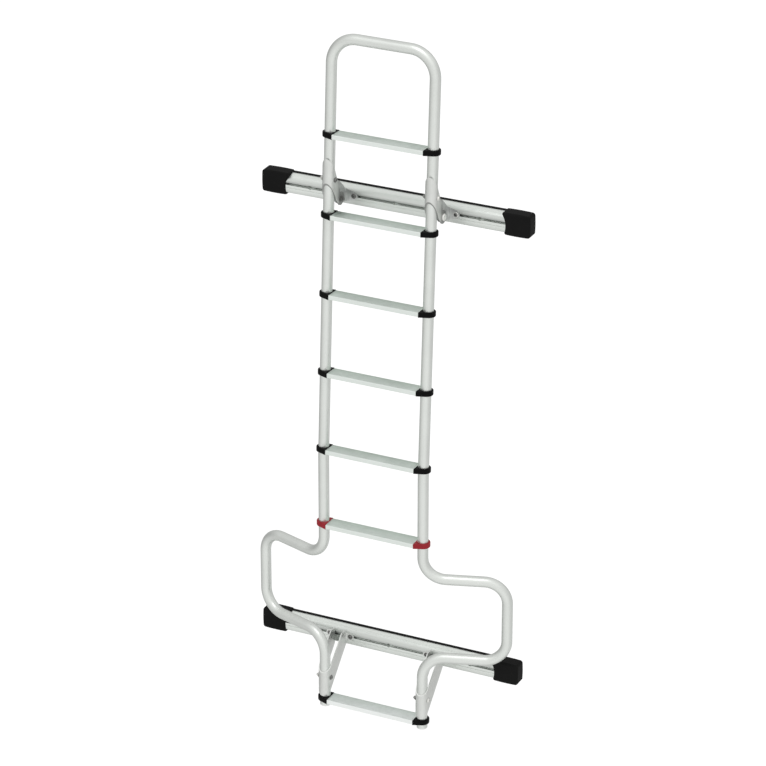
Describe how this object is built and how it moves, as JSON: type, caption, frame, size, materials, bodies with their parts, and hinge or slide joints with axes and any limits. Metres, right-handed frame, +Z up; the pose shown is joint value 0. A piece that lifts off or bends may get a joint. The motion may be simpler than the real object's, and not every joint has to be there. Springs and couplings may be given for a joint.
{
  "type": "van rear door ladder",
  "caption": "Tubular rear door ladder with a top hoop, flat ribbed treads, side loops low down and slotted crossbars with capped ends that lie on the door.",
  "frame": {"origin": "middle of the lower crossbar's door-side face, on the rubber", "axes": "+X to the right as seen from behind the vehicle, +Y into the door, +Z up"},
  "size_m": [0.7906, 0.1935, 1.9801],
  "materials": {
    "frame_tube": "satin anodised",
    "tread": "extruded, ribbed top",
    "crossbar": "satin anodised",
    "clamp": "bent strip, satin",
    "bolt": "zinc plated",
    "black_collar": "moulded",
    "red_collar": "moulded",
    "end_cap": "moulded",
    "rubber": "extruded",
    "foot_plug": "moulded"
  },
  "bodies": {
    "ladder": {"hoop_tube": "frame_tube", "left_clamp_bolt": "bolt", "left_foot_plug": "foot_plug", "left_loop_tube": "frame_tube", "left_lower_bracket": "clamp", "left_pivot_bolt": "bolt", "left_strap_bolt": "bolt", "left_upper_strap": "clamp", "left_upright_tube": "frame_tube", "lower_crossbar": "crossbar", "lower_left_end_cap": "end_cap", "lower_left_slot_bolts": "bolt", "lower_right_end_cap": "end_cap", "lower_right_slot_bolts": "bolt", "lower_rubber_strip": "rubber", "right_clamp_bolt": "bolt", "right_foot_plug": "foot_plug", "right_loop_tube": "frame_tube", "right_lower_bracket": "clamp", "right_pivot_bolt": "bolt", "right_strap_bolt": "bolt", "right_upper_strap": "clamp", "right_upright_tube": "frame_tube", "tread_1": "tread", "tread_1_collars": "black_collar", "tread_2": "tread", "tread_2_collars": "red_collar", "tread_3": "tread", "tread_3_collars": "black_collar", "tread_4": "tread", "tread_4_collars": "black_collar", "tread_5": "tread", "tread_5_collars": "black_collar", "tread_6": "tread", "tread_6_collars": "black_collar", "tread_7": "tread", "tread_7_collars": "black_collar"},
    "upper_bar": {"left_pivot_bracket": "clamp", "right_pivot_bracket": "clamp", "upper_crossbar": "crossbar", "upper_left_end_cap": "end_cap", "upper_left_slot_bolts": "bolt", "upper_right_end_cap": "end_cap", "upper_right_slot_bolts": "bolt", "upper_rubber_strip": "rubber"}
  },
  "joints": [
    {"name": "upper_bar_tilt", "type": "hinge", "parent": "ladder", "child": "upper_bar", "pos_m": [0, -0.05503, 1.33279], "axis": [1, 0, 0], "range_deg": [-15, 15]}
  ]
}
